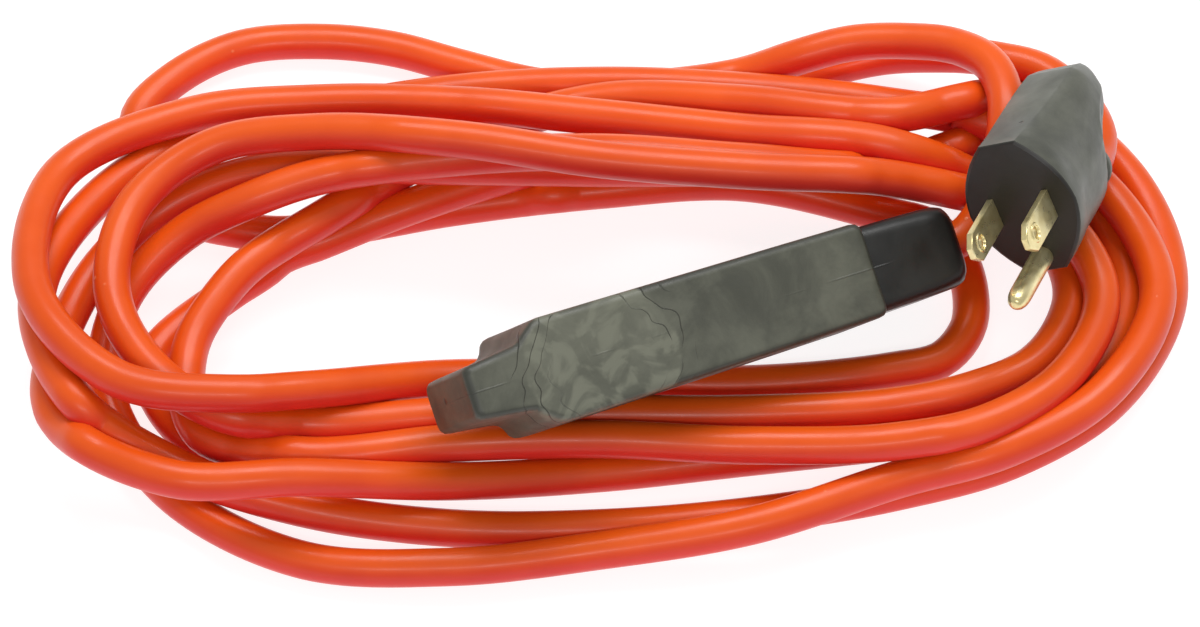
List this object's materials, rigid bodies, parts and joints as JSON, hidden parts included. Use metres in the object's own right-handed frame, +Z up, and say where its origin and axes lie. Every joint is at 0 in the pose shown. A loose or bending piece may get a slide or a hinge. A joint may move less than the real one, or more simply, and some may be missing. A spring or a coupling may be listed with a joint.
{
  "type": "extension cord",
  "caption": "Orange outdoor extension cord coiled flat, with a long dark connector block at one end and a grounded angled-exit plug at the other.",
  "frame": {"origin": "bottom centre of the whole coiled part, on the surface it lies on", "axes": "+X along the hank's long side, towards the plug; +Y across the hank, away from the side the connector's nose points to; +Z up"},
  "size_m": [0.252, 0.142, 0.0567],
  "materials": {
    "cord": "glossy orange vinyl jacket with long soft highlights",
    "block": "moulded grey-olive vinyl, satin, smudged",
    "boot": "smooth black vinyl, semi-gloss",
    "plug": "moulded dark grey vinyl, satin, scuffed",
    "brass": "pale stamped brass, light scratches",
    "carrier": "natural moulded plastic, hidden",
    "wire_black": "smooth vinyl insulation, hidden",
    "wire_white": "smooth vinyl insulation, hidden",
    "wire_green": "smooth vinyl insulation, hidden"
  },
  "bodies": {
    "root": {"cord_coil": "cord", "cord_lead_connector": "cord", "cord_lead_plug": "cord", "connector_body": "block", "connector_boot": "boot", "contact_carrier": "carrier", "outlet_face_1": "boot", "outlet_face_2": "boot", "outlet_face_3": "boot", "bus_hot": "brass", "bus_neutral": "brass", "bus_ground": "brass", "connector_wire_hot": "wire_black", "connector_wire_neutral": "wire_white", "connector_wire_ground": "wire_green", "plug_body": "plug", "plug_strain_relief": "boot", "plug_core": "carrier", "blade_hot": "brass", "blade_neutral": "brass", "ground_pin": "brass", "crimp_hot": "brass", "crimp_neutral": "brass", "crimp_ground": "brass", "plug_wire_hot": "wire_black", "plug_wire_neutral": "wire_white", "plug_wire_ground": "wire_green"}
  },
  "joints": []
}
